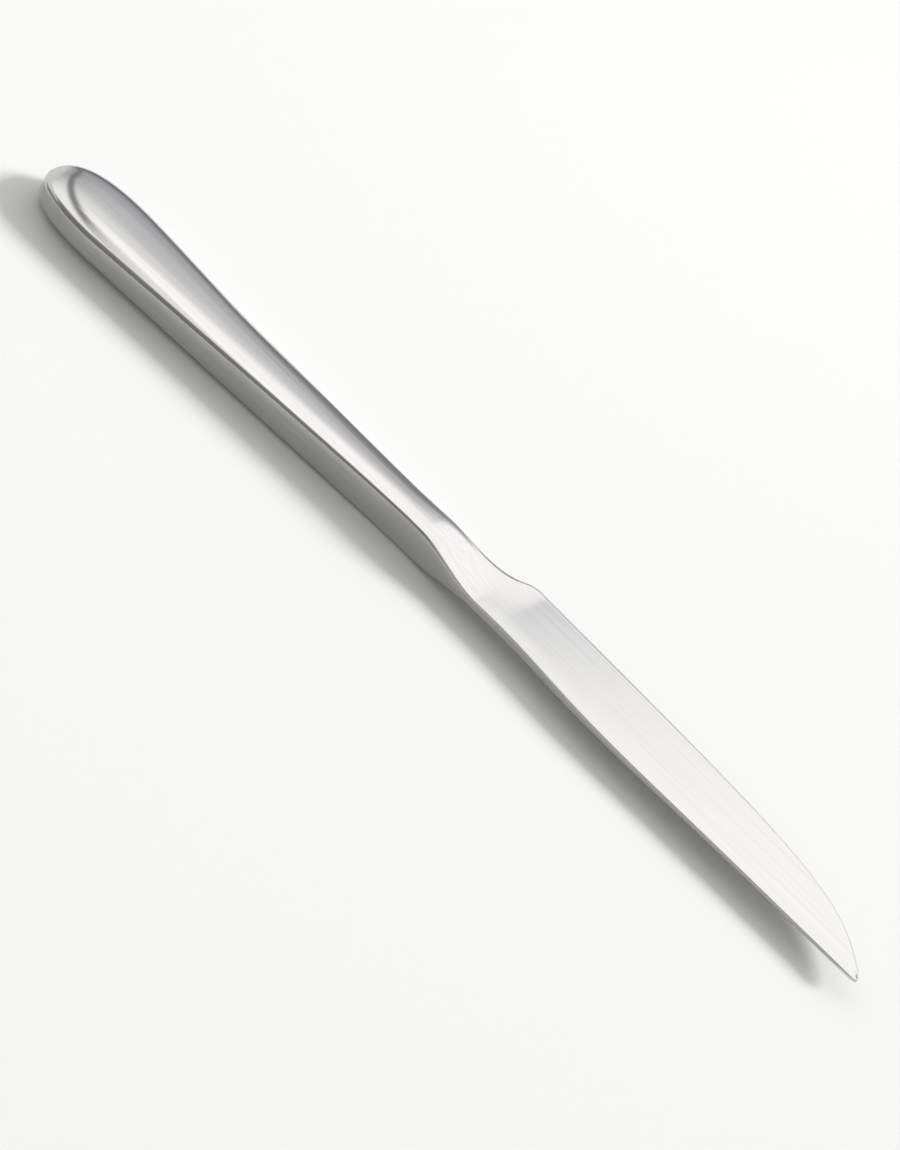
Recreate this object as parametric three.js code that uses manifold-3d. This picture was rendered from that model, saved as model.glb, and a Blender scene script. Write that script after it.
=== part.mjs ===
// An all-steel steak knife with a hollow handle.
// Two pressed half shells, soldered along their rims, make the handle. The blade is one forging with its
// neck and a notched tang. The tang is set in cement inside the handle, and the neck closes its mouth.
//
// Millimetres. x runs from the butt of the handle to the tip of the blade, y from the spine to the cutting
// edge, and z is up, square to the blade. While the pieces are made, x is 0 at the butt, y is 0 on the
// handle's axis and z is 0 midway through the thickness. The finished knife lies on a broad face, with its
// origin under its middle.

import * as THREE from "three";
import { mergeVertices } from "three/addons/utils/BufferGeometryUtils.js";
import Module from "manifold-3d";

// Lengths along the knife
const HANDLE_LENGTH = 108; // butt to the mouth of the shells
const NECK_LENGTH = 24.2; // mouth of the shells to the heel of the edge
const BLADE_LENGTH = 102.8; // heel to tip

// Handle seen from above
const BUTT_WIDTH = 18.5; // at its widest place
const BUTT_ROUND = 18; // length of the rounded end, up to the widest place
const BUTT_BLUNT = 6; // how far the end runs square to the axis before it turns
const BUTT_SHOULDER = 12.5; // how far the widest place carries back towards the end
const MOUTH_SPINE_SIDE = 4.5; // from the handle's axis to the spine side, at the mouth
const SPINE_SIDE_SWELL = 4; // how far the butt's width carries on along the spine side
const SPINE_SIDE_LEAD_IN = 14; // how far the mouth's width carries back along the spine side
const EDGE_SIDE_SWELL = 11.4;
const EDGE_SIDE_LEAD_IN = 47; // how far the waist's width carries back along the edge side

// Handle through its thickness
const HANDLE_THICKNESS = 8; // from crest to crest
const CROWN_RADIUS = 24; // of each broad face, from its crest to the spine side
const CREST_FLAT = 2; // width of the flat along each crest, which follows the handle's axis
const BUTT_CORNER = 1.7; // radius between a broad face and the flat spine side, at the butt
const MOUTH_CORNER = 0.7; // the same radius at the mouth and the neck
const EDGE_CORNER = 0.8; // how far the corner reaches in from the flat edge side
// The crown falls from its crest to the edge side on an ellipse at exponent 2, a squarer curve above it
const BUTT_SQUARENESS = 3.5;
const GRIP_SQUARENESS = 1.9;
const NECK_SQUARENESS = 5.5;
const SQUARE_UP_TO = 10; // from the butt end
const ROUND_FROM_MOUTH = 21; // before the mouth, where the crown is fully round
const ROUND_TO_MOUTH = 8; // before the mouth, where it starts to square up to a flat bar
const BAR_FROM_MOUTH = 13; // past the mouth, where the neck is a flat bar
const OVERREACH = 2.5; // how far the crown would run past the edge side that cuts it, along the grip
const OVERREACH_FROM = 45; // from the butt end
const OVERREACH_FULL = 85;
const BUTT_FALL = 30; // length over which the broad faces fall to the butt end
const BUTT_FALL_POWER = 5; // the higher, the later they fall
const BUTT_EDGE = 2.4; // thickness left at the butt end

// Shells and what joins them
const SHELL_WALL = 0.9;
const LEAST_INSIDE = 0.3; // least corner radius and half height inside a shell
const SEAM_THICKNESS = 0.3; // solder between the two rims

// Tang and cement
const TANG_LENGTH = 48;
const TANG_END_WIDTH = 3.2;
const TANG_ROOT = 2; // length of tang buried in the neck
const NOTCHES = 3; // along each side of the tang
const NOTCH_WIDTH = 3;
const NOTCH_DEPTH = 0.6;
const CEMENT_BED = 1.3; // between the shell's inner face and the tang at the mouth
const CEMENT_BEYOND_TANG = 6;
const CEMENT_GAP = 0.3; // clearance of the cement from steel

// Neck
const COLLAR_LENGTH = 3; // full handle thickness in front of the mouth
const TAPER_LENGTH = 18; // over which the neck thins to the blade
const NECK_SPINE_LEAD = 7; // how far the mouth's direction carries on along the spine
const WAIST_FROM_MOUTH = 3; // where the edge side lies nearest to the axis
const WAIST_EDGE_SIDE = 5.25; // from the axis to the edge side there
const WAIST_LEAD_OUT = 5; // how far the edge side keeps along the axis after the waist
const HEEL_RAMP = 5; // length of the slope that runs up to the heel's corner
const HEEL_SLOPE = 0.9; // rise of that slope over its run

// Spine, with distances from the handle's axis
const SPINE_AT_HEEL = 5.5;
const SPINE_AT_BOW = 7.4;
const SPINE_AT_TIP = 7;
const BOW_FROM_HEEL = 40; // where the spine lies furthest from the axis
// How far the spine keeps along the axis before and after the heel, the bow and the tip
const HEEL_SPINE_LEAD_IN = 12;
const HEEL_SPINE_LEAD_OUT = 16;
const BOW_LEAD_IN = 20;
const BOW_LEAD_OUT = 13;
const TIP_SPINE_LEAD_IN = 44;

// Edge
const EDGE_AT_HEEL = 11.5; // from the handle's axis
const EDGE_RUN = 77; // how far the nearly straight edge carries on from the heel
const EDGE_SLOPE = 0.03; // fall of that run over its length
const BELLY_FROM_TIP = 14.5; // where the belly aims before it turns down to the tip
const BELLY_HEIGHT = 9.4; // the same place, from the handle's axis
const TIP_HEIGHT = 1.6;

// Blade through its thickness
const SPINE_THICKNESS_HEEL = 2;
const SPINE_THICKNESS_MIDDLE = 1.2;
const SPINE_THICKNESS_TIP = 0.7;
const THIN_FROM_HEEL = 41; // where the spine's taper slackens
const EDGE_THICKNESS = 0.3;
const EDGE_ROUND = 0.35; // how far the edge's rounding reaches in from it
const NECK_ROUND = 1.8; // the same on the neck, up to where the grind starts
const SPINE_CORNER = 0.2;
const GRIND_FROM_SPINE = 3; // where the flat side gives way to the ground bevel
const GRIND_BEFORE_HEEL = 5; // where the grind starts along the blade
const GRIND_PAST_HEEL = 4; // where it reaches its full depth

// Limits where a section gets small
const MOST_FLAT = 0.25; // of the spine side's width, for half the crest's flat
const MOST_CORNER = 0.7; // of a side's height, for its corner
const MOST_CORNER_REACH = 0.5; // of the crown's reach, for a corner
const MOST_GRIND = 0.4; // of the blade's width, for its flat side

// Fineness of the faceted surfaces
const CORNER_STEPS = 2;
const CROWN_STEPS = 4; // from the spine side's corner to the crest
const EDGE_SIDE_STEPS = 7; // from the edge side to the crest
const BUTT_STEPS = 9;
const HANDLE_STEPS = 12;
const NECK_STEPS = 13;
const BLADE_STEPS = 22;
const BUTT_FIRST_STEP = 0.04; // share of the rounded end before its first station
const HALVINGS = 40; // to find a place on a curve
const MERGE_DISTANCE = 1e-4;

const WAIST = HANDLE_LENGTH + WAIST_FROM_MOUTH;
const HEEL = HANDLE_LENGTH + NECK_LENGTH;
const TIP = HEEL + BLADE_LENGTH;
const BOW = HEEL + BOW_FROM_HEEL;

const wasm = await Module();
wasm.setup();

const polishedSteel = new THREE.MeshStandardMaterial({ color: 0xc8cacb, roughness: 0.08, metalness: 1 });
const satinSteel = new THREE.MeshStandardMaterial({ color: 0xd5d6d6, roughness: 0.3, metalness: 1 });
const solder = new THREE.MeshStandardMaterial({ color: 0xbcbebe, roughness: 0.2, metalness: 1 });
const cement = new THREE.MeshStandardMaterial({ color: 0x8c867b, roughness: 0.95, metalness: 0 });

// Outlines seen from above. Each runs steadily along x.

const buttEnd = new THREE.CubicBezierCurve(
  new THREE.Vector2(0, 0),
  new THREE.Vector2(0, BUTT_BLUNT),
  new THREE.Vector2(BUTT_ROUND - BUTT_SHOULDER, BUTT_WIDTH / 2),
  new THREE.Vector2(BUTT_ROUND, BUTT_WIDTH / 2),
);

// The spine side draws in to the mouth, swells a little past the neck and runs back towards the tip.
const spineLine = new THREE.Path();
spineLine.moveTo(BUTT_ROUND, -BUTT_WIDTH / 2);
spineLine.bezierCurveTo(
  BUTT_ROUND + SPINE_SIDE_SWELL, -BUTT_WIDTH / 2,
  HANDLE_LENGTH - SPINE_SIDE_LEAD_IN, -MOUTH_SPINE_SIDE,
  HANDLE_LENGTH, -MOUTH_SPINE_SIDE,
);
spineLine.bezierCurveTo(
  HANDLE_LENGTH + NECK_SPINE_LEAD, -MOUTH_SPINE_SIDE,
  HEEL - HEEL_SPINE_LEAD_IN, -SPINE_AT_HEEL,
  HEEL, -SPINE_AT_HEEL,
);
spineLine.bezierCurveTo(
  HEEL + HEEL_SPINE_LEAD_OUT, -SPINE_AT_HEEL,
  BOW - BOW_LEAD_IN, -SPINE_AT_BOW,
  BOW, -SPINE_AT_BOW,
);
spineLine.bezierCurveTo(
  BOW + BOW_LEAD_OUT, -SPINE_AT_BOW,
  TIP - TIP_SPINE_LEAD_IN, -SPINE_AT_TIP,
  TIP, -SPINE_AT_TIP,
);

// The edge side draws in to the neck's waist and sweeps out to the heel. From there it runs almost straight
// into the belly.
const edgeLine = new THREE.Path();
edgeLine.moveTo(BUTT_ROUND, BUTT_WIDTH / 2);
edgeLine.bezierCurveTo(
  BUTT_ROUND + EDGE_SIDE_SWELL, BUTT_WIDTH / 2,
  WAIST - EDGE_SIDE_LEAD_IN, WAIST_EDGE_SIDE,
  WAIST, WAIST_EDGE_SIDE,
);
edgeLine.bezierCurveTo(
  WAIST + WAIST_LEAD_OUT, WAIST_EDGE_SIDE,
  HEEL - HEEL_RAMP, EDGE_AT_HEEL - HEEL_RAMP * HEEL_SLOPE,
  HEEL, EDGE_AT_HEEL,
);
edgeLine.bezierCurveTo(
  HEEL + EDGE_RUN, EDGE_AT_HEEL - EDGE_RUN * EDGE_SLOPE,
  TIP - BELLY_FROM_TIP, BELLY_HEIGHT,
  TIP, TIP_HEIGHT - SPINE_AT_TIP,
);

// The thickness along the spine, which tapers less past the heel.
const spineThickness = new THREE.QuadraticBezierCurve(
  new THREE.Vector2(HEEL, SPINE_THICKNESS_HEEL),
  new THREE.Vector2(HEEL + THIN_FROM_HEEL, SPINE_THICKNESS_MIDDLE),
  new THREE.Vector2(TIP, SPINE_THICKNESS_TIP),
);

// Height of a line at x, which is held at the line's ends.
function heightAt(line, x) {
  let before = 0;
  let after = 1;
  for (let i = 0; i < HALVINGS; i++) {
    const middle = (before + after) / 2;
    if (line.getPoint(middle).x < x) before = middle;
    else after = middle;
  }
  return line.getPoint(after).y;
}

// Sections across the knife, as Vector2(y, z) for the upper half, from the edge side over to the spine side.

function arc(y, z, radius, from, to, steps) {
  const points = [];
  for (let i = 0; i <= steps; i++) {
    const angle = from + ((to - from) * i) / steps;
    points.push(new THREE.Vector2(y + radius * Math.cos(angle), z + radius * Math.sin(angle)));
  }
  return points;
}

// From the foot of the flat edge side up to its corner, and on along the crown to the flat of the crest.
function edgeSideHalf(x, edge, crest, flat, inset, floor) {
  const reach = edge + overreachAt(x);
  const squareness = squarenessAt(x);
  const corner = Math.min(Math.max(EDGE_CORNER - inset, LEAST_INSIDE), edge * MOST_CORNER_REACH);
  const cornerY = edge - corner;
  const crown = (y) => new THREE.Vector2(y, crest * (1 - (y / reach) ** squareness) ** (1 / squareness));
  const onCrown = crown(cornerY);
  const slope = (crest / reach) * ((cornerY / reach) / (onCrown.y / crest)) ** (squareness - 1);
  const turn = new THREE.Vector2(edge, onCrown.y - slope * corner);
  const onSide = new THREE.Vector2(edge, turn.y - Math.min(corner, (turn.y - floor) * MOST_CORNER));
  const points = [new THREE.Vector2(edge, floor)];
  points.push(...new THREE.QuadraticBezierCurve(onSide, turn, onCrown).getPoints(CORNER_STEPS));
  const crownSteps = EDGE_SIDE_STEPS - CORNER_STEPS - 1;
  for (let i = 1; i < crownSteps; i++) {
    const share = i / crownSteps;
    points.push(crown(THREE.MathUtils.lerp(cornerY, flat, share)));
  }
  return points;
}

// A flat crest over the axis, with a crown, a corner and a flat side on either hand of it.
function crownedHalf(x, spine, edge, crest, cornerRadius, inset, floor) {
  const half = -spine;
  const flat = Math.min(CREST_FLAT / 2, half * MOST_FLAT);
  const reach = half - flat;
  const radius = CROWN_RADIUS - inset;
  const sideHeight = crest - radius + Math.sqrt(radius ** 2 - reach ** 2);
  const wanted = Math.max(cornerRadius - inset, LEAST_INSIDE);
  const corner = Math.min(wanted, reach * MOST_CORNER_REACH, (sideHeight - floor) * MOST_CORNER);
  const crownBase = crest - radius;
  const cornerBase = crownBase + Math.sqrt((radius - corner) ** 2 - (reach - corner) ** 2);
  const turn = Math.PI - Math.atan2(cornerBase - crownBase, reach - corner);
  const points = edgeSideHalf(x, edge, crest, flat, inset, floor);
  points.push(new THREE.Vector2(flat, crest));
  points.push(...arc(-flat, crownBase, radius, Math.PI / 2, turn, CROWN_STEPS));
  points.push(...arc(spine + corner, cornerBase, corner, turn, Math.PI, CORNER_STEPS).slice(1));
  points.push(new THREE.Vector2(spine, floor));
  return points;
}

// A flat side from the spine to the grind line, then a bevel down to the edge. In the neck there is no bevel.
function bladeHalf(x, spine, edge) {
  const half = heightAt(spineThickness, x) / 2;
  const ground = THREE.MathUtils.smoothstep(x, HEEL - GRIND_BEFORE_HEEL, HEEL + GRIND_PAST_HEEL);
  const edgeHalf = THREE.MathUtils.lerp(half, EDGE_THICKNESS / 2, ground);
  const round = THREE.MathUtils.lerp(NECK_ROUND, EDGE_ROUND, ground);
  const bevelEnd = edge - round;
  const corner = Math.min(SPINE_CORNER, half * MOST_CORNER);
  const grind = spine + Math.min(GRIND_FROM_SPINE, (edge - spine) * MOST_GRIND);
  const points = arc(0, 0, 1, 0, Math.PI / 2, CORNER_STEPS).map((p) => {
    return new THREE.Vector2(bevelEnd + p.x * round, p.y * edgeHalf);
  });
  const bevelSteps = EDGE_SIDE_STEPS - CORNER_STEPS;
  for (let i = 1; i <= bevelSteps; i++) {
    const share = i / bevelSteps;
    const y = THREE.MathUtils.lerp(bevelEnd, grind, share);
    points.push(new THREE.Vector2(y, THREE.MathUtils.lerp(edgeHalf, half, share)));
  }
  for (let i = 1; i <= CROWN_STEPS + 1; i++) {
    const share = i / (CROWN_STEPS + 1);
    points.push(new THREE.Vector2(THREE.MathUtils.lerp(grind, spine + corner, share), half));
  }
  points.push(...arc(spine + corner, half - corner, corner, Math.PI / 2, Math.PI, CORNER_STEPS).slice(1));
  points.push(new THREE.Vector2(spine, 0));
  return points;
}

// The two sides of the handle at x, with the rounded butt. An inset moves them in, as inside a wall.
function handleSides(x, inset) {
  if (x < BUTT_ROUND) {
    const onOutside = ((x - inset) * BUTT_ROUND) / (BUTT_ROUND - inset);
    const half = heightAt(buttEnd, onOutside) * (1 - (2 * inset) / BUTT_WIDTH);
    return { spine: -half, edge: half };
  }
  return { spine: heightAt(spineLine, x) + inset, edge: heightAt(edgeLine, x) - inset };
}

// Goes from 0 on the grip to 1 where the neck is a flat bar.
function barShare(x) {
  return THREE.MathUtils.smoothstep(x, HANDLE_LENGTH - ROUND_TO_MOUTH, HANDLE_LENGTH + BAR_FROM_MOUTH);
}

// How square the crown's fall is at x: less so along the grip than at the butt and in the neck.
function squarenessAt(x) {
  const grip = THREE.MathUtils.smoothstep(x, SQUARE_UP_TO, HANDLE_LENGTH - ROUND_FROM_MOUTH);
  const alongHandle = THREE.MathUtils.lerp(BUTT_SQUARENESS, GRIP_SQUARENESS, grip);
  return 1 / THREE.MathUtils.lerp(1 / alongHandle, 1 / NECK_SQUARENESS, barShare(x));
}

function overreachAt(x) {
  return OVERREACH * THREE.MathUtils.smoothstep(x, OVERREACH_FROM, OVERREACH_FULL) * (1 - barShare(x));
}

function handleCrest(x, inset) {
  const full = HANDLE_THICKNESS / 2 - inset;
  const end = Math.max(BUTT_EDGE / 2 - inset, LEAST_INSIDE);
  const before = Math.max(BUTT_FALL - x, 0) / (BUTT_FALL - inset);
  return end + (full - end) * Math.sqrt(Math.max(1 - before ** BUTT_FALL_POWER, 0));
}

function handleHalf(x, inset, floor) {
  const { spine, edge } = handleSides(x, inset);
  const corner = THREE.MathUtils.lerp(BUTT_CORNER, MOUTH_CORNER, Math.min(x / HANDLE_LENGTH, 1));
  return crownedHalf(x, spine, edge, handleCrest(x, inset), corner, inset, floor);
}

// The neck keeps the handle's section at the collar and thins to the blade's section.
function neckAndBladeHalf(x) {
  const { spine, edge } = handleSides(x, 0);
  const start = HANDLE_LENGTH + COLLAR_LENGTH;
  const end = start + TAPER_LENGTH;
  const crowned = handleHalf(Math.min(x, end), 0, 0);
  const flat = bladeHalf(x, spine, edge);
  const share = THREE.MathUtils.smoothstep(x, start, end);
  return crowned.map((p, i) => p.clone().lerp(flat[i], share));
}

// Adds the mirrored lower half to an upper half that starts and ends on the middle plane.
function wholeSection(half) {
  const lower = half.slice(1, -1).map((p) => new THREE.Vector2(p.x, -p.y));
  return [...half, ...lower.reverse()];
}

// Places along the handle, close together round the butt.
function handleStations(inset, end) {
  const stations = [];
  for (let i = 0; i < BUTT_STEPS; i++) {
    const share = THREE.MathUtils.lerp(BUTT_FIRST_STEP, 1, i / BUTT_STEPS);
    const onOutside = buttEnd.getPoint(share).x;
    stations.push(inset + (onOutside * (BUTT_ROUND - inset)) / BUTT_ROUND);
  }
  for (let i = 0; i <= HANDLE_STEPS; i++) {
    stations.push(THREE.MathUtils.lerp(BUTT_ROUND, end, i / HANDLE_STEPS));
  }
  return stations;
}

// Places along the neck and the blade, closer together towards the tip.
function bladeStations() {
  const stations = [];
  for (let i = 0; i < NECK_STEPS; i++) {
    stations.push(HANDLE_LENGTH + (NECK_LENGTH * i) / NECK_STEPS);
  }
  for (let i = 0; i <= BLADE_STEPS; i++) {
    const even = i / BLADE_STEPS;
    const eased = Math.sin((even * Math.PI) / 2);
    stations.push(HEEL + (BLADE_LENGTH * (even + eased)) / 2);
  }
  return stations;
}

// A closed body through sections of equal count at the given stations, capped at both ends.
function loft(stations, sectionAt) {
  const sections = stations.map(sectionAt);
  const count = sections[0].length;
  const positions = [];
  const index = [];
  sections.forEach((section, s) => section.forEach((p) => positions.push(stations[s], p.x, p.y)));
  for (let s = 0; s + 1 < sections.length; s++) {
    for (let i = 0; i < count; i++) {
      const a = s * count + i;
      const b = s * count + ((i + 1) % count);
      index.push(a, b, a + count, b, b + count, a + count);
    }
  }
  const last = (sections.length - 1) * count;
  THREE.ShapeUtils.triangulateShape(sections[0], []).forEach(([a, b, c]) => index.push(a, c, b));
  THREE.ShapeUtils.triangulateShape(sections.at(-1), []).forEach(([a, b, c]) => {
    index.push(last + a, last + b, last + c);
  });
  const geometry = new THREE.BufferGeometry();
  geometry.setAttribute("position", new THREE.Float32BufferAttribute(positions, 3));
  geometry.setIndex(index);
  return geometry;
}

// An outline in x and y made into a plate that lies evenly about the middle plane.
function plate(outline, thickness) {
  const geometry = new THREE.ExtrudeGeometry(outline, { depth: thickness, bevelEnabled: false });
  return geometry.translate(0, 0, -thickness / 2);
}

function toSolid(geometry) {
  const bare = geometry.clone();
  bare.deleteAttribute("normal");
  bare.deleteAttribute("uv");
  const merged = mergeVertices(bare, MERGE_DISTANCE);
  return new wasm.Manifold(
    new wasm.Mesh({
      numProp: 3,
      vertProperties: merged.attributes.position.array,
      triVerts: new Uint32Array(merged.index.array),
    }),
  );
}

function toGeometry(solid) {
  const mesh = solid.getMesh();
  const geometry = new THREE.BufferGeometry();
  geometry.setAttribute("position", new THREE.BufferAttribute(mesh.vertProperties, 3));
  geometry.setIndex(new THREE.BufferAttribute(mesh.triVerts, 1));
  geometry.computeVertexNormals();
  return geometry;
}

// Half shell above the seam: the outside of the handle less its cavity, which is cut past rim and mouth.
function shellGeometry() {
  const rim = SEAM_THICKNESS / 2;
  const outside = loft(handleStations(0, HANDLE_LENGTH), (x) => handleHalf(x, 0, rim));
  const past = HANDLE_LENGTH + SHELL_WALL;
  const cavity = loft(handleStations(SHELL_WALL, past), (x) => {
    const half = handleHalf(x, SHELL_WALL, 0);
    half.at(0).y = -SHELL_WALL;
    half.at(-1).y = -SHELL_WALL;
    return half;
  });
  return toGeometry(toSolid(outside).subtract(toSolid(cavity)));
}

// The solder fills the seam between the rims, from one side of the mouth round the butt to the other.
function seamGeometry() {
  const outer = handleStations(0, HANDLE_LENGTH).map((x) => ({ x, ...handleSides(x, 0) }));
  const inner = handleStations(SHELL_WALL, HANDLE_LENGTH).map((x) => ({ x, ...handleSides(x, SHELL_WALL) }));
  const edgePoints = (sides) => sides.map((s) => new THREE.Vector2(s.x, s.edge));
  const spinePoints = (sides) => sides.map((s) => new THREE.Vector2(s.x, s.spine));
  const outline = new THREE.Shape([
    ...edgePoints(outer).reverse(),
    ...spinePoints(outer),
    ...spinePoints(inner).reverse(),
    ...edgePoints(inner),
  ]);
  return plate(outline, SEAM_THICKNESS);
}

// The tang's outline, grown all round to cut its bed in the cement.
function tangOutline(grow) {
  const end = HANDLE_LENGTH - TANG_LENGTH;
  const rootWidth = 2 * (MOUTH_SPINE_SIDE - SHELL_WALL - CEMENT_BED);
  const halfWidth = (x) => {
    return grow + THREE.MathUtils.mapLinear(x, end, HANDLE_LENGTH, TANG_END_WIDTH, rootWidth) / 2;
  };
  const side = [new THREE.Vector2(end - grow, halfWidth(end))];
  for (let i = 1; i <= NOTCHES; i++) {
    const centre = end + (TANG_LENGTH * i) / (NOTCHES + 1);
    const from = centre - NOTCH_WIDTH / 2 + grow;
    const to = centre + NOTCH_WIDTH / 2 - grow;
    side.push(new THREE.Vector2(from, halfWidth(from)));
    side.push(new THREE.Vector2(from, halfWidth(from) - NOTCH_DEPTH));
    side.push(new THREE.Vector2(to, halfWidth(to) - NOTCH_DEPTH));
    side.push(new THREE.Vector2(to, halfWidth(to)));
  }
  const root = HANDLE_LENGTH + TANG_ROOT;
  side.push(new THREE.Vector2(root, halfWidth(root)));
  const otherSide = side.map((p) => new THREE.Vector2(p.x, -p.y)).reverse();
  return new THREE.Shape([...side, ...otherSide]);
}

function tangGeometry(grow) {
  const thickness = HANDLE_THICKNESS - 2 * (SHELL_WALL + CEMENT_BED);
  return plate(tangOutline(grow), thickness + 2 * grow);
}

function bladeGeometry() {
  const forged = loft(bladeStations(), (x) => wholeSection(neckAndBladeHalf(x)));
  return toGeometry(toSolid(forged).add(toSolid(tangGeometry(0))));
}

// The cement fills the front of the cavity round the tang and ends a little past it.
function cementGeometry() {
  const end = HANDLE_LENGTH - TANG_LENGTH - CEMENT_BEYOND_TANG;
  const stations = [];
  for (let i = 0; i <= HANDLE_STEPS; i++) {
    stations.push(THREE.MathUtils.lerp(end, HANDLE_LENGTH, i / HANDLE_STEPS));
  }
  const filled = loft(stations, (x) => wholeSection(handleHalf(x, SHELL_WALL + CEMENT_GAP, 0)));
  return toGeometry(toSolid(filled).subtract(toSolid(tangGeometry(CEMENT_GAP))));
}

// Assembly

const knife = new THREE.Group();

function addPiece(name, geometry, material) {
  const piece = new THREE.Mesh(geometry, material);
  piece.name = name;
  knife.add(piece);
  return piece;
}

const shell = shellGeometry();
addPiece("upper_handle_shell", shell, polishedSteel);
addPiece("lower_handle_shell", shell, polishedSteel).scale.z = -1;
addPiece("seam_solder", seamGeometry(), solder);
addPiece("blade", bladeGeometry(), satinSteel);
addPiece("tang_cement", cementGeometry(), cement);

// The origin lies under the middle of the knife, on the surface that it rests on.
const bounds = new THREE.Box3().setFromObject(knife);
const centre = bounds.getCenter(new THREE.Vector3());
knife.position.set(-centre.x, -centre.y, -bounds.min.z);

const part = new THREE.Group();
part.add(knife);
export default part;
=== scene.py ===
"""Steak knife: a hollow handle of two polished half shells on the tang of a satin blade.

The knife lies on its side. Its pieces are drawn from the butt of the handle to the tip, with the spine on
one side of the handle's axis and the cutting edge on the other, and are then set in the frame of the
solids.
"""

import math

import bmesh
import bpy
from mathutils import Matrix, Vector


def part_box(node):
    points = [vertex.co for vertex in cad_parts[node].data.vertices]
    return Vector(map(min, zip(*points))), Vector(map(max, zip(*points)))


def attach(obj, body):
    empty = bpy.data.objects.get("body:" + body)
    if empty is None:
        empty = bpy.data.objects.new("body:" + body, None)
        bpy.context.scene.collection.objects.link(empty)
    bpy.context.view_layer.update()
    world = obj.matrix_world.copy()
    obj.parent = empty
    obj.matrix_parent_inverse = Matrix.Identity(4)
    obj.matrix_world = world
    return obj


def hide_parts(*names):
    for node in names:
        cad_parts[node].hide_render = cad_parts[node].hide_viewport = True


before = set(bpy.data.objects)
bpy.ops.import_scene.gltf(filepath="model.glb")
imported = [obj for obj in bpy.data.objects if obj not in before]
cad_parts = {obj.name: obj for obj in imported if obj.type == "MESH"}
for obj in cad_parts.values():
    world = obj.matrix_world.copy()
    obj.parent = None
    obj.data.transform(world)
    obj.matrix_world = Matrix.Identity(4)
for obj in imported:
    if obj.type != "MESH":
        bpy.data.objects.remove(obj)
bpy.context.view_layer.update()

MM = 0.001

# Places that the solids give
shell_low, shell_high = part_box("upper_handle_shell")
solder_low, solder_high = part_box("seam_solder")
_, blade_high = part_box("blade")
AXIS_Y = (shell_low.y + shell_high.y) / 2
SEAM_Z = (solder_low.z + solder_high.z) / 2
HALF_SEAM = (solder_high.z - solder_low.z) / 2
HALF_WIDTH = (shell_high.y - shell_low.y) / 2
HALF_THICK = shell_high.z - SEAM_Z

# Places along the knife, from the butt
HANDLE = 108 * MM
NECK = 24.2 * MM
HEEL = HANDLE + NECK
WAIST = HANDLE + 3 * MM
BUTT_X = shell_high.x - HANDLE
TIP = blade_high.x - BUTT_X

# Handle outline: lengths along the axis, and distances from it on the spine side and the edge side
BUTT_ROUND = 18 * MM
BUTT_BLUNT = 6 * MM
BUTT_SHOULDER = 12.5 * MM
MOUTH_SPINE = 4.5 * MM
SPINE_SWELL = 4 * MM
SPINE_LEAD_IN = 14 * MM
WAIST_EDGE = 5.25 * MM
EDGE_SWELL = 11.4 * MM
EDGE_LEAD_IN = 47 * MM

# Handle section: two flat sides, and a crown that falls more to the edge side along the grip than at the
# butt and in the flat bar of the neck
CROWN_RADIUS = 32 * MM
BUTT_CORNER = 1.7 * MM
MOUTH_CORNER = 0.7 * MM
CORNER_CREASE = math.radians(25)  # between the flat spine side and its rounded corner
CREASE_STEP = 0.03 * MM
EDGE_CORNER = 0.8 * MM
OVERREACH = 2.5 * MM  # how far the crown would run past the flat edge side
OVERREACH_FROM = 45 * MM
OVERREACH_FULL = 85 * MM
BUTT_SQUARENESS = 3.5
GRIP_SQUARENESS = 1.9
NECK_SQUARENESS = 5.5
SQUARE_UP_TO = 10 * MM
ROUND_FROM = HANDLE - 21 * MM
ROUND_UP_TO = HANDLE - 8 * MM
BAR_FROM = HANDLE + 13 * MM
BUTT_FALL = 30 * MM  # length of the crest's fall to the butt
BUTT_FALL_POWER = 5
BUTT_CREST = 1.2 * MM
MOST_CORNER = 0.5  # of the reach from the axis
MOST_CORNER_RISE = 0.7  # of the height over the rim
SHELL_WALL = 0.9 * MM
LEAST_INSIDE = 0.3 * MM

# Neck and blade outline
COLLAR = 3 * MM
TAPER = 18 * MM
NECK_SPINE_LEAD = 7 * MM
WAIST_LEAD_OUT = 5 * MM
HEEL_RAMP = 5 * MM
HEEL_SLOPE = 0.9
HEEL_ROUND = 1.8 * MM
EDGE_AT_HEEL = 11.5 * MM
EDGE_RUN = 77 * MM
EDGE_SLOPE = 0.03
BELLY_LEAD = 14.5 * MM
BELLY = 9.4 * MM
SPINE_AT_HEEL = 5.5 * MM
SPINE_AT_BOW = 7.4 * MM
SPINE_AT_TIP = 7 * MM
TIP_HEIGHT = 1.6 * MM
BOW = HEEL + 40 * MM
HEEL_LEAD_IN = 12 * MM
HEEL_LEAD_OUT = 16 * MM
BOW_LEAD_IN = 20 * MM
BOW_LEAD_OUT = 13 * MM
TIP_LEAD_IN = 44 * MM
NOSE = 1.4 * MM

# Blade section
HALF_SPINE_HEEL = 1.0 * MM
HALF_SPINE_MIDDLE = 0.6 * MM
HALF_SPINE_TIP = 0.35 * MM
THIN_FROM = HEEL + 41 * MM
SPINE_CORNER = 0.2 * MM
GRIND_FROM_SPINE = 3 * MM
GRIND_START = HEEL - 5 * MM
GRIND_FULL = HEEL + 4 * MM
MOST_GRIND = 0.4  # of the blade's width
GRIND_SOFTNESS = 0.12
EDGE_ROUND = 0.75 * MM
NECK_ROUND = 1.8 * MM
HALF_EDGE = 0.15 * MM
MOST_SPINE_CORNER = 1 / 8  # of the blade's width
MOST_EDGE_ROUND = 1 / 5  # of the blade's width
MOST_THIN = 1 / 2  # of half the spine's thickness, for its corner and for the edge

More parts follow.
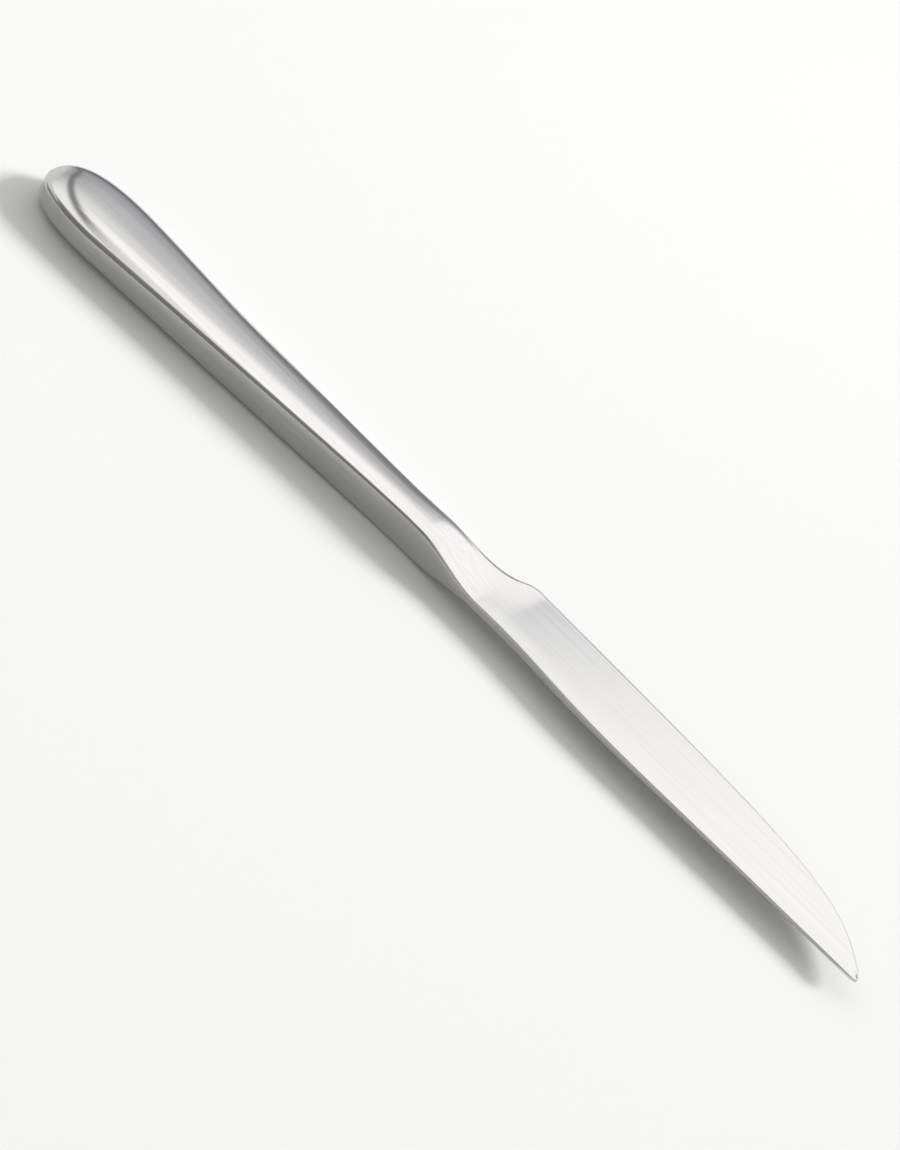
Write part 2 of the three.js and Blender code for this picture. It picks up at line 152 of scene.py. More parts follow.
# Tang
TANG_END = HANDLE - 48 * MM
HALF_TANG_END = 1.6 * MM
CEMENT_BED = 1.3 * MM
HALF_TANG_ROOT = MOUTH_SPINE - SHELL_WALL - CEMENT_BED
HALF_TANG_THICK = HALF_THICK - SHELL_WALL - CEMENT_BED
NOTCHES = 3
NOTCH_WIDTH = 3 * MM
NOTCH_DEPTH = 0.6 * MM

# How finely the surfaces are divided
SIDE_STEPS = 4
CORNER_STEPS = 10
CROWN_STEPS = 22
FALL_STEPS = 20
EDGE_STEPS = 12
BUTT_STEPS = 36
HANDLE_STEPS = 130
NECK_STEPS = 70
HEEL_STEPS = 14
BLADE_STEPS = 160
NOSE_STEPS = 8
HALVINGS = 40
BUTT_START = 0.01  # of the butt's curve, where its first section stands
NOSE_END = 0.97  # of the nose's turn, where the last section stands
SHARP_ANGLE = math.radians(38)

LEAST_REACH = 0.001 * MM
MERGE = 0.0005 * MM

# Finishes
POLISHED_COLOUR = (0.628, 0.625, 0.619)
SATIN_COLOUR = (0.634, 0.632, 0.629)
SOLDER_COLOUR = (0.622, 0.62, 0.614)
DARK_STREAK = 0.90
SATIN_FROM = 94 * MM
SATIN_FULL = 118 * MM
BROAD_FACE = (0.45, 0.80)  # upright share of the normal, from a narrow side to a broad face
MIRROR_ROUGHNESS = (0.06, 0.09)
SATIN_ROUGHNESS = (0.19, 0.25)
STREAK = (30 * MM, 0.60 * MM, 0.60 * MM)  # length and width of the brushing marks
STREAK_TURN = math.radians(3)
CLOUD = (30 * MM, 12 * MM, 12 * MM)
MARK_DEPTH = 0.008 * MM
MIRROR_MARKS = 0.015
SATIN_MARKS = 0.4
NOISE_DETAIL = 3
NOISE_LOW, NOISE_HIGH = 0.3, 0.7  # where nearly all of the noise lies
CEMENT_DARK = (0.36, 0.34, 0.30)
CEMENT_LIGHT = (0.47, 0.45, 0.41)
SAND = (0.4 * MM, 0.4 * MM, 0.4 * MM)
SAND_DEPTH = 0.05 * MM
SAND_STRENGTH = 0.6
CEMENT_ROUGHNESS = 0.95

# Floor and light
FLOOR_SIZE = 6
FLOOR_COLOUR = (0.92, 0.92, 0.915)
FLOOR_ROUGHNESS = 1
PANEL_EDGE = Vector((-224, 400, 400)) * MM
PANEL_SLANT = math.radians(50)
PANEL_LENGTH = 860 * MM
PANEL_WIDTH = 470 * MM
PANEL_SHIFT = -20 * MM
PANEL_FADE = 58 * MM
PANEL_COLOUR = (1, 0.99, 0.98)
PANEL_STRENGTH = 1.55

# Light tent: each cloth's colour by degrees, from the horizon behind the knife over the top to the one in
# front, and the share of the direction that points right where the cloths give way to each other
HORIZON_TO_HORIZON = 180
LEFT_CLOTH = (
    (0, (0.24, 0.25, 0.26)),
    (13, (0.24, 0.25, 0.26)),
    (20, (0.40, 0.41, 0.43)),
    (26, (0.51, 0.53, 0.56)),
    (34, (0.58, 0.59, 0.61)),
    (42, (0.82, 0.82, 0.82)),
    (50, (1.10, 1.10, 1.09)),
    (60, (1.38, 1.37, 1.35)),
    (74, (1.38, 1.36, 1.34)),
    (84, (0.75, 0.74, 0.73)),
    (96, (0.34, 0.34, 0.33)),
    (130, (0.22, 0.22, 0.215)),
    (180, (0.30, 0.30, 0.295)),
)
RIGHT_CLOTH = (
    (0, (0.40, 0.41, 0.43)),
    (22, (0.44, 0.45, 0.47)),
    (27, (0.92, 0.93, 0.95)),
    (36, (0.98, 0.98, 0.99)),
    (50, (0.95, 0.95, 0.94)),
    (62, (0.55, 0.54, 0.53)),
    (80, (0.32, 0.315, 0.31)),
    (110, (0.28, 0.28, 0.275)),
    (145, (0.28, 0.28, 0.275)),
    (180, (0.32, 0.32, 0.315)),
)
LEFT_UP_TO = -0.42
RIGHT_FROM = -0.12
FAR_LEFT_CLOTH = (
    (0, (0.92, 0.92, 0.91)),
    (48, (0.95, 0.95, 0.94)),
    (72, (0.90, 0.90, 0.89)),
    (102, (0.90, 0.90, 0.89)),
    (130, (0.35, 0.35, 0.345)),
    (180, (0.32, 0.32, 0.315)),
)
FAR_RIGHT_CLOTH = (
    (0, (0.60, 0.60, 0.60)),
    (40, (0.55, 0.55, 0.55)),
    (65, (0.32, 0.32, 0.32)),
    (110, (0.30, 0.30, 0.30)),
    (145, (0.55, 0.55, 0.54)),
    (180, (0.68, 0.68, 0.67)),
)
FAR_LEFT_REACH = (-0.58, -0.68)
FAR_RIGHT_REACH = (-0.05, 0.40)
FRONT_CLOTH = (0.70, 0.70, 0.69)
FRONT_CLOTH_REACH = (-0.12, 0.02)
FRONT_CLOTH_RISE = (65, 95)
GAP_COLOUR = (0.30, 0.30, 0.30)
GAP_ROUND = (0.757, 0.619, 0.210)
GAP_AT = 0.115
GAP_NARROW = 0.008
GAP_WIDE = 0.037
GAP_END = (-0.40, -0.345)

# Key light
KEY_FROM = (0.60, 0.64, 0.48)
KEY_STRENGTH = 2.9
KEY_SPREAD = math.radians(17)
KEY_COLOUR = (1, 0.998, 0.99)

# Photograph's camera
PICTURE_LONG_SIDE = 1150
FOCAL_PIXELS = 4559.09
SENSOR = 36
CAMERA_AZIMUTH = math.radians(20.132)
CAMERA_ELEVATION = math.radians(40)
CAMERA_ROLL = math.radians(30.817)
CAMERA_DISTANCE = 900 * MM
CAMERA_TARGET = Vector((3.490, -4.973, 4.1)) * MM


def lerp(a, b, share):
    return a + (b - a) * share


def eased(value, start, end):
    share = min(max((value - start) / (end - start), 0), 1)
    return share * share * (3 - 2 * share)


def spread(start, end, steps):
    return [lerp(start, end, k / steps) for k in range(steps)]


def bezier(curve, share):
    rest = 1 - share
    weights = (rest**3, 3 * rest * rest * share, 3 * rest * share * share, share**3)
    return [sum(w * p[k] for w, p in zip(weights, curve)) for k in (0, 1)]


def rounded(start, corner, end):
    """A curve that leaves start towards a corner and arrives at end from it."""
    lead_out = [lerp(a, b, 2 / 3) for a, b in zip(start, corner)]
    lead_in = [lerp(a, b, 2 / 3) for a, b in zip(end, corner)]
    return [start, lead_out, lead_in, end]


def height(line, x):
    """How far a drawn line lies from the axis at x."""
    curve = next((c for c in line if x <= c[3][0]), line[-1])
    low, high = 0.0, 1.0
    for _ in range(HALVINGS):
        middle = (low + high) / 2
        if bezier(curve, middle)[0] < x:
            low = middle
        else:
            high = middle
    return bezier(curve, high)[1]


BUTT_END = [
    (0, 0),
    (0, BUTT_BLUNT),
    (BUTT_ROUND - BUTT_SHOULDER, HALF_WIDTH),
    (BUTT_ROUND, HALF_WIDTH),
]
SPINE_LINE = [
    BUTT_END,
    [
        (BUTT_ROUND, HALF_WIDTH),
        (BUTT_ROUND + SPINE_SWELL, HALF_WIDTH),
        (HANDLE - SPINE_LEAD_IN, MOUTH_SPINE),
        (HANDLE, MOUTH_SPINE),
    ],
    [
        (HANDLE, MOUTH_SPINE),
        (HANDLE + NECK_SPINE_LEAD, MOUTH_SPINE),
        (HEEL - HEEL_LEAD_IN, SPINE_AT_HEEL),
        (HEEL, SPINE_AT_HEEL),
    ],
    [
        (HEEL, SPINE_AT_HEEL),
        (HEEL + HEEL_LEAD_OUT, SPINE_AT_HEEL),
        (BOW - BOW_LEAD_IN, SPINE_AT_BOW),
        (BOW, SPINE_AT_BOW),
    ],
    [
        (BOW, SPINE_AT_BOW),
        (BOW + BOW_LEAD_OUT, SPINE_AT_BOW),
        (TIP - TIP_LEAD_IN, SPINE_AT_TIP),
        (TIP, SPINE_AT_TIP),
    ],
]
HEEL_IN = (HEEL - HEEL_ROUND, EDGE_AT_HEEL - HEEL_SLOPE * HEEL_ROUND)
HEEL_OUT = (HEEL + HEEL_ROUND, EDGE_AT_HEEL - EDGE_SLOPE * HEEL_ROUND)
EDGE_LINE = [
    BUTT_END,
    [
        (BUTT_ROUND, HALF_WIDTH),
        (BUTT_ROUND + EDGE_SWELL, HALF_WIDTH),
        (WAIST - EDGE_LEAD_IN, WAIST_EDGE),
        (WAIST, WAIST_EDGE),
    ],
    [
        (WAIST, WAIST_EDGE),
        (WAIST + WAIST_LEAD_OUT, WAIST_EDGE),
        (HEEL - HEEL_RAMP, EDGE_AT_HEEL - HEEL_SLOPE * HEEL_RAMP),
        HEEL_IN,
    ],
    rounded(HEEL_IN, (HEEL, EDGE_AT_HEEL), HEEL_OUT),
    [
        HEEL_OUT,
        (HEEL + EDGE_RUN, EDGE_AT_HEEL - EDGE_SLOPE * EDGE_RUN),
        (TIP - BELLY_LEAD, BELLY),
        (TIP, TIP_HEIGHT - SPINE_AT_TIP),
    ],
]
SPINE_THICKNESS = [rounded((HEEL, HALF_SPINE_HEEL), (THIN_FROM, HALF_SPINE_MIDDLE), (TIP, HALF_SPINE_TIP))]


def crest(x):
    back = max(BUTT_FALL - x, 0) / BUTT_FALL
    return BUTT_CREST + (HALF_THICK - BUTT_CREST) * math.sqrt(1 - back**BUTT_FALL_POWER)


def squareness(x):
    along_handle = lerp(BUTT_SQUARENESS, GRIP_SQUARENESS, eased(x, SQUARE_UP_TO, ROUND_FROM))
    return 1 / lerp(1 / along_handle, 1 / NECK_SQUARENESS, eased(x, ROUND_UP_TO, BAR_FROM))


def overreach(x):
    """How far the crown would run past the flat edge side that cuts it."""
    return OVERREACH * eased(x, OVERREACH_FROM, OVERREACH_FULL) * (1 - eased(x, ROUND_UP_TO, BAR_FROM))


def edge_half(x, edge, top, rim):
    """Edge side of a section: the crown's fall from the crest, a corner, and a flat down to the rim."""
    reach = edge + overreach(x)
    power = squareness(x)
    corner = min(EDGE_CORNER, edge * MOST_CORNER)
    corner_y = edge - corner
    falling = [corner_y * math.sin(turn) for turn in spread(0, math.pi / 2, FALL_STEPS)]
    points = [(y, top * (1 - (y / reach) ** power) ** (1 / power)) for y in falling]
    share = corner_y / reach
    left = 1 - share**power
    corner_z = top * left ** (1 / power)
    slope = top / reach * share ** (power - 1) * left ** (1 / power - 1)
    turn_z = corner_z - slope * corner
    flat_z = turn_z - min(corner, (turn_z - rim) * MOST_CORNER_RISE)
    around = rounded((corner_y, corner_z), (edge, turn_z), (edge, flat_z))
    points += [tuple(bezier(around, share)) for share in spread(0, 1, EDGE_STEPS)]
    return points + [(edge, z) for z in spread(flat_z, rim, SIDE_STEPS)] + [(edge, rim)]


def handle_half(x, inset=0.0, rim=0.0):
    """Upper half of a handle section as (y, z), from the spine side's rim to the edge side's rim."""
    spine = max(height(SPINE_LINE, x) - inset, LEAST_INSIDE)
    edge = max(height(EDGE_LINE, x) - inset, LEAST_INSIDE)
    top = max(crest(x) - inset, rim + LEAST_INSIDE)
    bed = top - CROWN_RADIUS
    rise = bed + math.sqrt(CROWN_RADIUS**2 - spine**2) - rim
    wanted = lerp(BUTT_CORNER, MOUTH_CORNER, min(x / HANDLE, 1))
    corner = min(wanted, spine * MOST_CORNER, rise * MOST_CORNER_RISE)
    corner_y = spine - corner * math.cos(CORNER_CREASE)
    corner_z = bed + math.sqrt((CROWN_RADIUS - corner) ** 2 - corner_y**2)
    turn = math.atan2(corner_z - bed, corner_y)
    crease_z = corner_z + corner * math.sin(CORNER_CREASE)
    points = [(-spine, z) for z in spread(rim, crease_z - CREASE_STEP, SIDE_STEPS)]
    points.append((-spine, crease_z - CREASE_STEP))
    for angle in spread(CORNER_CREASE, turn, CORNER_STEPS):
        points.append((-corner_y - corner * math.cos(angle), corner_z + corner * math.sin(angle)))
    for angle in spread(turn, math.pi / 2, CROWN_STEPS):
        points.append((-CROWN_RADIUS * math.cos(angle), bed + CROWN_RADIUS * math.sin(angle)))
    return points + edge_half(x, edge, top, rim)


def grind_fall(share):
    """Nothing before the grind line, evenly falling after it, with a soft change."""
    return (share + math.hypot(share, GRIND_SOFTNESS)) / 2


def blade_half(x):
    """Upper half of a blade section: flat spine, small corner, flat, soft grind line and rounded edge."""
    spine = -height(SPINE_LINE, x)
    edge = height(EDGE_LINE, x)
    half = height(SPINE_THICKNESS, x)
    past_nose = max(x - TIP + NOSE, 0) / NOSE
    left = math.sqrt(1 - past_nose**2)
    nose_y = TIP_HEIGHT / 2 - SPINE_AT_TIP
    spine = lerp(nose_y, spine, left)
    edge = lerp(nose_y, edge, left)
    width = edge - spine
    corner = min(SPINE_CORNER, half * MOST_THIN, width * MOST_SPINE_CORNER)
    ground = eased(x, GRIND_START, GRIND_FULL)
    edge_round = min(lerp(NECK_ROUND, EDGE_ROUND, ground), width * MOST_EDGE_ROUND)
    points = [(spine, z) for z in spread(0, half - corner, SIDE_STEPS + 1)]
    for angle in spread(0, math.pi / 2, CORNER_STEPS):
        points.append((spine + corner - corner * math.cos(angle), half - corner + corner * math.sin(angle)))
    grind = spine + min(GRIND_FROM_SPINE, width * MOST_GRIND)
    bevel_end = edge - edge_round
    full_fall = grind_fall(1)
    thin = lerp(half, min(HALF_EDGE, half * MOST_THIN), ground)
    for y in spread(spine + corner, bevel_end, CROWN_STEPS + FALL_STEPS):
        fall = grind_fall((y - grind) / (bevel_end - grind)) / full_fall
        points.append((y, lerp(half, thin, fall)))
    for angle in spread(0, math.pi / 2, EDGE_STEPS + SIDE_STEPS):
        points.append((bevel_end + edge_round * math.sin(angle), thin * math.cos(angle)))
    return points + [(edge, 0)]


def neck_half(x):
    """The handle's section that turns into the blade's along the neck."""
    share = eased(x, HANDLE + COLLAR, HANDLE + COLLAR + TAPER)
    return [
        (lerp(a[0], b[0], share), lerp(a[1], b[1], share))
        for a, b in zip(handle_half(x), blade_half(x))
    ]


def whole(half):
    """A section's upper half and its mirror image below, as one ring that ends where it starts."""
    return half + [(y, -z) for y, z in reversed(half[:-1])]


def in_place(x, y, z):
    return Vector((BUTT_X + x, AXIS_Y + y, SEAM_Z + z))


def sheet(bm, rows):
    """A grid bent so that its crossings lie on the points of the rows. Gives back the first row."""
    last_row, last_place = len(rows) - 1, len(rows[0]) - 1
    made = bmesh.ops.create_grid(bm, x_segments=last_row, y_segments=last_place, size=1)
    first_row = []
    for vert in made["verts"]:
        row = round((vert.co.x + 1) / 2 * last_row)
        place = round((vert.co.y + 1) / 2 * last_place)
        vert.co = rows[row][place]
        if row == 0:
            first_row.append(vert)
    return first_row


def put_in_scene(bm, name, material):
    """Makes a bmesh an object in the scene, with one material."""
    mesh = bpy.data.meshes.new(name)
    bm.to_mesh(mesh)
    bm.free()
    mesh.materials.append(material)
    made = bpy.data.objects.new(name, mesh)
    bpy.context.scene.collection.objects.link(made)
    return made


def finished(bm, name, material):
    """Turns a closed bmesh into a piece with its faces outward and its real corners sharp."""
    bmesh.ops.recalc_face_normals(bm, faces=bm.faces)
    piece = put_in_scene(bm, name, material)
    piece.data.shade_smooth()
    piece.data.set_sharp_from_angle(angle=SHARP_ANGLE)
    return piece


def handle_stations(inset):
    """Places along the handle, close together round the butt, kept inside the end wall by the inset."""
    butt = [bezier(BUTT_END, share)[0] for share in spread(BUTT_START, 1, BUTT_STEPS)]
    butt = [inset + x * (BUTT_ROUND - inset) / BUTT_ROUND for x in butt]
    return butt + spread(BUTT_ROUND, HANDLE, HANDLE_STEPS) + [HANDLE]


def handle_shell(name, side, material):
    """One half shell: outer and inner sheets, closed at the butt and joined round the rim and mouth."""
    bm = bmesh.new()
    for inset in (0.0, SHELL_WALL):
        rows = [
            [in_place(x, y, side * z) for y, z in handle_half(x, inset, HALF_SEAM)]
            for x in handle_stations(inset)
        ]
        end = sheet(bm, rows)
        end_edges = [e for e in bm.edges if e.verts[0] in end and e.verts[1] in end]
        bmesh.ops.contextual_create(bm, geom=end + end_edges)
    rims = [e for e in bm.edges if e.is_boundary]
    bmesh.ops.bridge_loops(bm, edges=rims)
    return finished(bm, name, material)


def solder_strip(name, material):
    """The flat strip of solder between the two rims, from the mouth round the butt and back."""
    bm = bmesh.new()
    rows = []
    for inset in (0.0, SHELL_WALL):
        stations = handle_stations(inset)
        spine_side = [(x, -max(height(SPINE_LINE, x) - inset, LEAST_INSIDE)) for x in reversed(stations)]
        edge_side = [(x, max(height(EDGE_LINE, x) - inset, LEAST_INSIDE)) for x in stations]
        rows.append([in_place(x, y, -HALF_SEAM) for x, y in spine_side + edge_side])
    sheet(bm, rows)
    raised = bmesh.ops.extrude_face_region(bm, geom=list(bm.faces), use_keep_orig=True)["geom"]
    top = [v for v in raised if isinstance(v, bmesh.types.BMVert)]
    bmesh.ops.translate(bm, verts=top, vec=(0, 0, 2 * HALF_SEAM))
    return finished(bm, name, material)


def tang_rows(root):
    """Rings of the notched tang from its end to the mouth, each point on its ray through the root."""
    stations = [(TANG_END, 0)]
    for k in range(NOTCHES):
        middle = lerp(TANG_END, HANDLE, (k + 1) / (NOTCHES + 1))
        start, end = middle - NOTCH_WIDTH / 2, middle + NOTCH_WIDTH / 2
        stations += [(start, 0), (start, NOTCH_DEPTH), (end, NOTCH_DEPTH), (end, 0)]
    stations.append((HANDLE, 0))
    rows = []
    for x, cut in stations:
        share = (x - TANG_END) / (HANDLE - TANG_END)
        half = lerp(HALF_TANG_END, HALF_TANG_ROOT, share) - cut
        ring = []
        for y, z in root:
            reach = min(half / max(abs(y), LEAST_REACH), HALF_TANG_THICK / max(abs(z), LEAST_REACH))
            ring.append(in_place(x, y * reach, z * reach))
        rows.append(ring)
    return rows


def blade_stations():
    """Places from the mouth to the tip, close together round the heel's corner and the nose."""
    nose = [TIP - NOSE + NOSE * math.sin(share * math.pi / 2) for share in spread(0, NOSE_END, NOSE_STEPS)]
    return (
        spread(HANDLE, HEEL - HEEL_ROUND, NECK_STEPS)
        + spread(HEEL - HEEL_ROUND, HEEL + HEEL_ROUND, HEEL_STEPS)
        + spread(HEEL + HEEL_ROUND, TIP - NOSE, BLADE_STEPS)
        + nose
    )


def forged_blade(name, material):
    """Blade, neck with its collar, and tang in one: rings from the end of the tang to the tip."""
    bm = bmesh.new()
    rows = tang_rows(whole(neck_half(HANDLE)))
    rows += [[in_place(x, y, z) for y, z in whole(neck_half(x))] for x in blade_stations()]
    sheet(bm, rows)
    bmesh.ops.remove_doubles(bm, verts=bm.verts, dist=MERGE)
    bmesh.ops.holes_fill(bm, edges=[e for e in bm.edges if e.is_boundary], sides=0)
    return finished(bm, name, material)


def node(tree, kind, inputs, **settings):
    """A shader node with its settings, and its inputs linked or set."""
    made = tree.nodes.new(kind)
    for setting, value in settings.items():
        setattr(made, setting, value)
    for name, value in inputs.items():
        if isinstance(value, bpy.types.NodeSocket):
            tree.links.new(value, made.inputs[name])
        else:
            made.inputs[name].default_value = value
    return made


def ramp(tree, value, stops):
    """A colour ramp over a value from 0 to 1, from (place, colour) stops."""
    made = node(tree, "ShaderNodeValToRGB", {"Fac": value})
    elements = made.color_ramp.elements
    while len(elements) < len(stops):
        elements.new(1)
    for element, (place, colour) in zip(elements, stops):
        element.position = place
        element.color = (*colour, 1)
    return made.outputs["Color"]


def new_material(name):
    material = bpy.data.materials.new(name)
    material.use_nodes = True
    tree = material.node_tree
    shader = tree.nodes["Principled BSDF"]
    place = tree.nodes.new("ShaderNodeTexCoord").outputs["Object"]
    return material, tree, shader, place


def grain(tree, place, spacing, turn=0.0):
    """Noise in streaks, as long and as fine as the spacing says along each axis."""
    stretched = node(
        tree,
        "ShaderNodeMapping",
        {"Vector": place, "Rotation": (0, 0, turn), "Scale": [1 / s for s in spacing]},
    )
    noise = node(
        tree,
        "ShaderNodeTexNoise",
        {"Vector": stretched.outputs["Vector"], "Scale": 1, "Detail": NOISE_DETAIL},
    )
    return noise.outputs["Fac"]


def between(tree, value, low, high):
    """A noise value spread over the range from low to high."""
    made = node(
        tree,
        "ShaderNodeMapRange",
        {"Value": value, "From Min": NOISE_LOW, "From Max": NOISE_HIGH, "To Min": low, "To Max": high},
    )
    return made.outputs["Result"]


def fade(tree, value, start, end):
    """Goes smoothly from 0 to 1 as a value goes from start to end."""
    made = node(
        tree,
        "ShaderNodeMapRange",
        {"Value": value, "From Min": start, "From Max": end},
        interpolation_type="SMOOTHSTEP",
    )
    return made.outputs["Result"]


def mixed_colour(tree, share, first, second):
    made = node(tree, "ShaderNodeMix", {}, data_type="RGBA")
    tree.links.new(share, made.inputs["Factor"])
    for socket, colour in zip((s for s in made.inputs if s.type == "RGBA"), (first, second)):
        if isinstance(colour, bpy.types.NodeSocket):
            tree.links.new(colour, socket)
        else:
            socket.default_value = colour
    return next(s for s in made.outputs if s.type == "RGBA")


def worked_out(tree, operation, *values):
    """The result of a sum on values that are linked or set."""
    made = node(tree, "ShaderNodeMath", dict(enumerate(values)), operation=operation)
    return made.outputs["Value"]


def satin_share(tree, place):
    """From 0 on the handle to 1 on the broad faces of neck and blade, whose narrow sides stay bright."""
    x = node(tree, "ShaderNodeSeparateXYZ", {"Vector": place}).outputs["X"]
    past_mouth = fade(tree, x, BUTT_X + SATIN_FROM, BUTT_X + SATIN_FULL)
    normal = tree.nodes.new("ShaderNodeNewGeometry").outputs["Normal"]
    facing = node(tree, "ShaderNodeSeparateXYZ", {"Vector": normal}).outputs["Z"]
    broad = fade(tree, worked_out(tree, "ABSOLUTE", facing), *BROAD_FACE)
    return worked_out(tree, "MULTIPLY", past_mouth, broad)


def steel(name, colour):
    """Steel, mirror-bright on the handle and brushed along its length from the neck on."""
    material, tree, shader, place = new_material(name)
    shader.inputs["Metallic"].default_value = 1
    satin = satin_share(tree, place)
    streaks = grain(tree, place, STREAK, STREAK_TURN)
    clouds = grain(tree, place, CLOUD)
    mirror_rough = between(tree, clouds, *MIRROR_ROUGHNESS)
    satin_rough = between(tree, streaks, *SATIN_ROUGHNESS)
    rough = node(tree, "ShaderNodeMix", {"Factor": satin, "A": mirror_rough, "B": satin_rough})
    tree.links.new(rough.outputs["Result"], shader.inputs["Roughness"])
    dark = [c * DARK_STREAK for c in colour]
    tone = ramp(tree, streaks, [(NOISE_LOW, dark), (NOISE_HIGH, colour)])
    tree.links.new(tone, shader.inputs["Base Color"])
    depth = node(
        tree,
        "ShaderNodeMapRange",
        {"Value": satin, "To Min": MIRROR_MARKS, "To Max": SATIN_MARKS},
    )
    marks = node(
        tree,
        "ShaderNodeBump",
        {"Height": streaks, "Strength": depth.outputs["Result"], "Distance": MARK_DEPTH},
    )
    tree.links.new(marks.outputs["Normal"], shader.inputs["Normal"])
    return material


def set_cement(name):
    """Grey set cement with fine sand in it."""
    material, tree, shader, place = new_material(name)
    sand = grain(tree, place, SAND)
    tone = ramp(tree, sand, [(NOISE_LOW, CEMENT_DARK), (NOISE_HIGH, CEMENT_LIGHT)])
    tree.links.new(tone, shader.inputs["Base Color"])
    shader.inputs["Roughness"].default_value = CEMENT_ROUGHNESS
    grains = node(
        tree,
        "ShaderNodeBump",
        {"Height": sand, "Strength": SAND_STRENGTH, "Distance": SAND_DEPTH},
    )
    tree.links.new(grains.outputs["Normal"], shader.inputs["Normal"])
    return material


def pale_floor():
    bm = bmesh.new()
    bmesh.ops.create_grid(bm, x_segments=1, y_segments=1, size=FLOOR_SIZE / 2)
    material, _, shader, _ = new_material("pale_floor")
    shader.inputs["Base Color"].default_value = (*FLOOR_COLOUR, 1)
    shader.inputs["Roughness"].default_value = FLOOR_ROUGHNESS
    shader.inputs["Specular IOR Level"].default_value = 0
    floor = put_in_scene(bm, "floor", material)


def soft_panel():
    """A lit cloth behind and above the knife, fading along its low edge, which slants down to the right."""
    along = Vector((math.cos(PANEL_SLANT), 0, -math.sin(PANEL_SLANT)))
    across = Vector((math.sin(PANEL_SLANT), 0, math.cos(PANEL_SLANT)))
    facing = along.cross(across)
    bm = bmesh.new()
    bmesh.ops.create_grid(bm, x_segments=1, y_segments=1, size=1)
    bmesh.ops.scale(bm, vec=(PANEL_LENGTH / 2, PANEL_WIDTH / 2, 1), verts=bm.verts)
    bmesh.ops.translate(bm, vec=(PANEL_SHIFT, PANEL_WIDTH / 2, 0), verts=bm.verts)
    material = bpy.data.materials.new("panel_light")
    material.use_nodes = True
    tree = material.node_tree
    tree.nodes.clear()
    place = tree.nodes.new("ShaderNodeTexCoord").outputs["Object"]
    from_edge = node(tree, "ShaderNodeSeparateXYZ", {"Vector": place}).outputs["Y"]
    share = fade(tree, from_edge, 0, PANEL_FADE)
    glow = node(tree, "ShaderNodeEmission", {"Color": (*PANEL_COLOUR, 1), "Strength": PANEL_STRENGTH})
    clear = tree.nodes.new("ShaderNodeBsdfTransparent")
    mixed = node(
        tree,
        "ShaderNodeMixShader",
        {"Fac": share, 1: clear.outputs["BSDF"], 2: glow.outputs["Emission"]},
    )
    node(tree, "ShaderNodeOutputMaterial", {"Surface": mixed.outputs["Shader"]})
    panel = put_in_scene(bm, "soft_panel", material)
    turn = Matrix((along, across, facing)).transposed().to_4x4()
    panel.matrix_world = Matrix.Translation(PANEL_EDGE) @ turn
    panel.visible_camera = False
    panel.visible_shadow = False


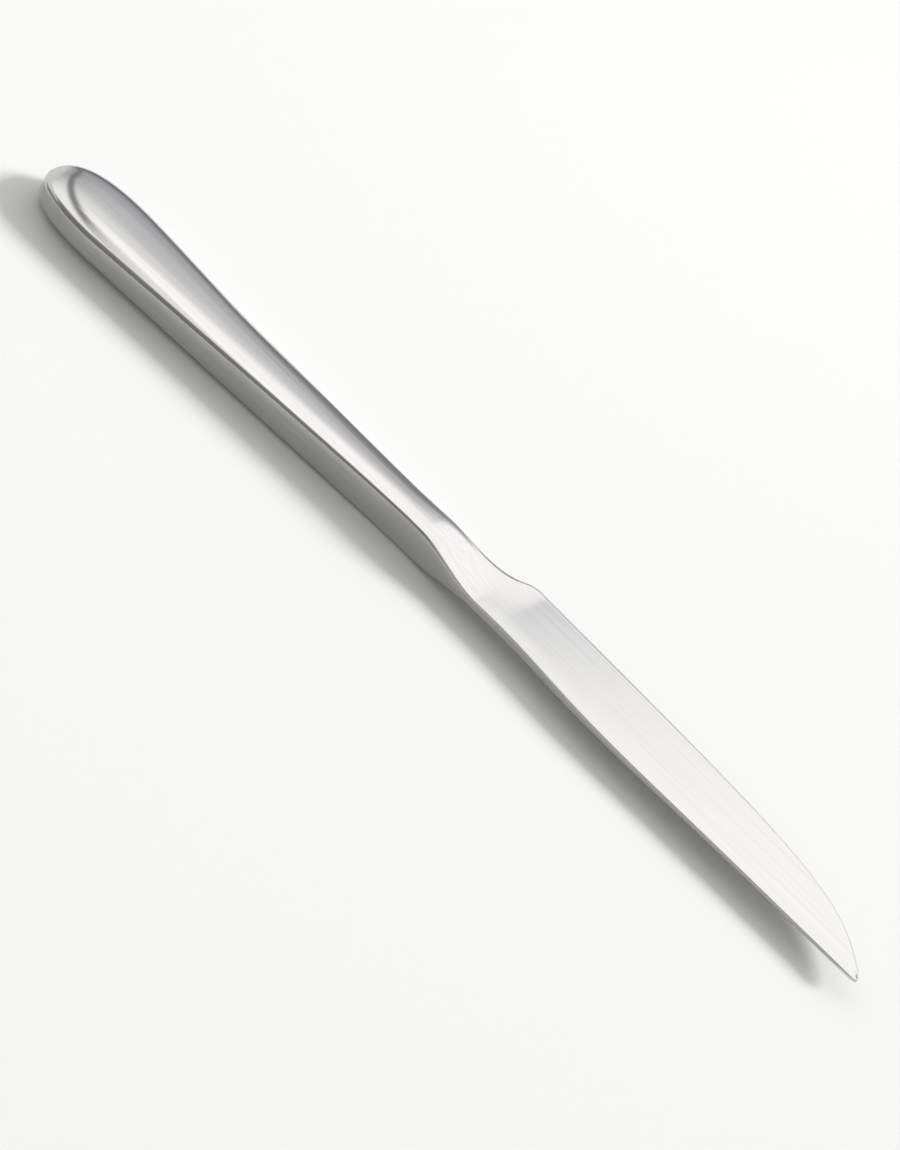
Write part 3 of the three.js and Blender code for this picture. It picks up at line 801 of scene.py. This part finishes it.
def light_tent():
    """Cloths over the knife from left to right, a dark gap, and a pale cloth that only the steel shows."""
    world = bpy.data.worlds.new("light_tent")
    world.use_nodes = True
    tree = world.node_tree
    tree.nodes.clear()
    direction = tree.nodes.new("ShaderNodeTexCoord").outputs["Generated"]
    axes = node(tree, "ShaderNodeSeparateXYZ", {"Vector": direction})
    x, y, z = (axes.outputs[name] for name in "XYZ")
    turn = worked_out(tree, "ARCTAN2", z, y)
    share = worked_out(tree, "MULTIPLY", turn, 1 / math.pi)
    far_left, left, right, far_right = (
        ramp(tree, share, [(angle / HORIZON_TO_HORIZON, colour) for angle, colour in cloth])
        for cloth in (FAR_LEFT_CLOTH, LEFT_CLOTH, RIGHT_CLOTH, FAR_RIGHT_CLOTH)
    )
    cloth = mixed_colour(tree, fade(tree, x, LEFT_UP_TO, RIGHT_FROM), left, right)
    cloth = mixed_colour(tree, fade(tree, x, *FAR_RIGHT_REACH), cloth, far_right)
    toward = node(tree, "ShaderNodeVectorMath", {0: direction, 1: GAP_ROUND}, operation="DOT_PRODUCT")
    aside = worked_out(tree, "SUBTRACT", toward.outputs["Value"], GAP_AT)
    past_gap = fade(tree, worked_out(tree, "ABSOLUTE", aside), GAP_NARROW, GAP_WIDE)
    past_end = fade(tree, x, *GAP_END)
    open_cloth = worked_out(tree, "MAXIMUM", past_gap, past_end)
    cloth = mixed_colour(tree, open_cloth, (*GAP_COLOUR, 1), cloth)
    colour = mixed_colour(tree, fade(tree, x, *FAR_LEFT_REACH), cloth, far_left)
    raised = fade(tree, share, *(angle / HORIZON_TO_HORIZON for angle in FRONT_CLOTH_RISE))
    front = worked_out(tree, "MULTIPLY", raised, fade(tree, x, *FRONT_CLOTH_REACH))
    mirrored = tree.nodes.new("ShaderNodeLightPath").outputs["Is Glossy Ray"]
    shown = worked_out(tree, "MULTIPLY", front, mirrored)
    colour = mixed_colour(tree, shown, colour, (*FRONT_CLOTH, 1))
    lit = node(tree, "ShaderNodeBackground", {"Color": colour, "Strength": 1})
    node(tree, "ShaderNodeOutputWorld", {"Surface": lit.outputs["Background"]})
    bpy.context.scene.world = world


def key_light():
    light = bpy.data.lights.new("key_light", "SUN")
    light.energy = KEY_STRENGTH
    light.angle = KEY_SPREAD
    light.color = KEY_COLOUR
    lamp = bpy.data.objects.new("key_light", light)
    lamp.rotation_euler = Vector(KEY_FROM).to_track_quat("Z", "Y").to_euler()
    bpy.context.scene.collection.objects.link(lamp)


def photograph_camera():
    right = Vector((math.cos(CAMERA_AZIMUTH), math.sin(CAMERA_AZIMUTH), 0))
    level = math.cos(CAMERA_ELEVATION)
    back = Vector(
        (math.sin(CAMERA_AZIMUTH) * level, -math.cos(CAMERA_AZIMUTH) * level, math.sin(CAMERA_ELEVATION))
    )
    straight = Matrix((right, back.cross(right), back)).transposed().to_4x4()
    data = bpy.data.cameras.new("camera")
    data.sensor_width = SENSOR
    data.lens = FOCAL_PIXELS * SENSOR / PICTURE_LONG_SIDE
    camera = bpy.data.objects.new("camera", data)
    place = Matrix.Translation(CAMERA_TARGET + back * CAMERA_DISTANCE)
    camera.matrix_world = place @ straight @ Matrix.Rotation(CAMERA_ROLL, 4, "Z")
    bpy.context.scene.collection.objects.link(camera)
    bpy.context.scene.camera = camera


polished_steel = steel("polished_steel", POLISHED_COLOUR)
satin_steel = steel("satin_steel", SATIN_COLOUR)
polished_solder = steel("polished_solder", SOLDER_COLOUR)
cement = set_cement("set_cement")

pieces = (
    (handle_shell("upper_shell", 1, polished_steel), "upper_handle_shell", "polished_steel"),
    (handle_shell("lower_shell", -1, polished_steel), "lower_handle_shell", "polished_steel"),
    (solder_strip("solder_strip", polished_solder), "seam_solder", "seam_solder"),
    (forged_blade("forged_blade", satin_steel), "blade", "satin_steel"),
)
for piece, solid, slot in pieces:
    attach(piece, "root")
    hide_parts(solid)
for cement_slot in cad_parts["tang_cement"].material_slots:
    cement_slot.material = cement

pale_floor()
soft_panel()
light_tent()
key_light()
photograph_camera()
bpy.context.scene.view_settings.view_transform = "Standard"
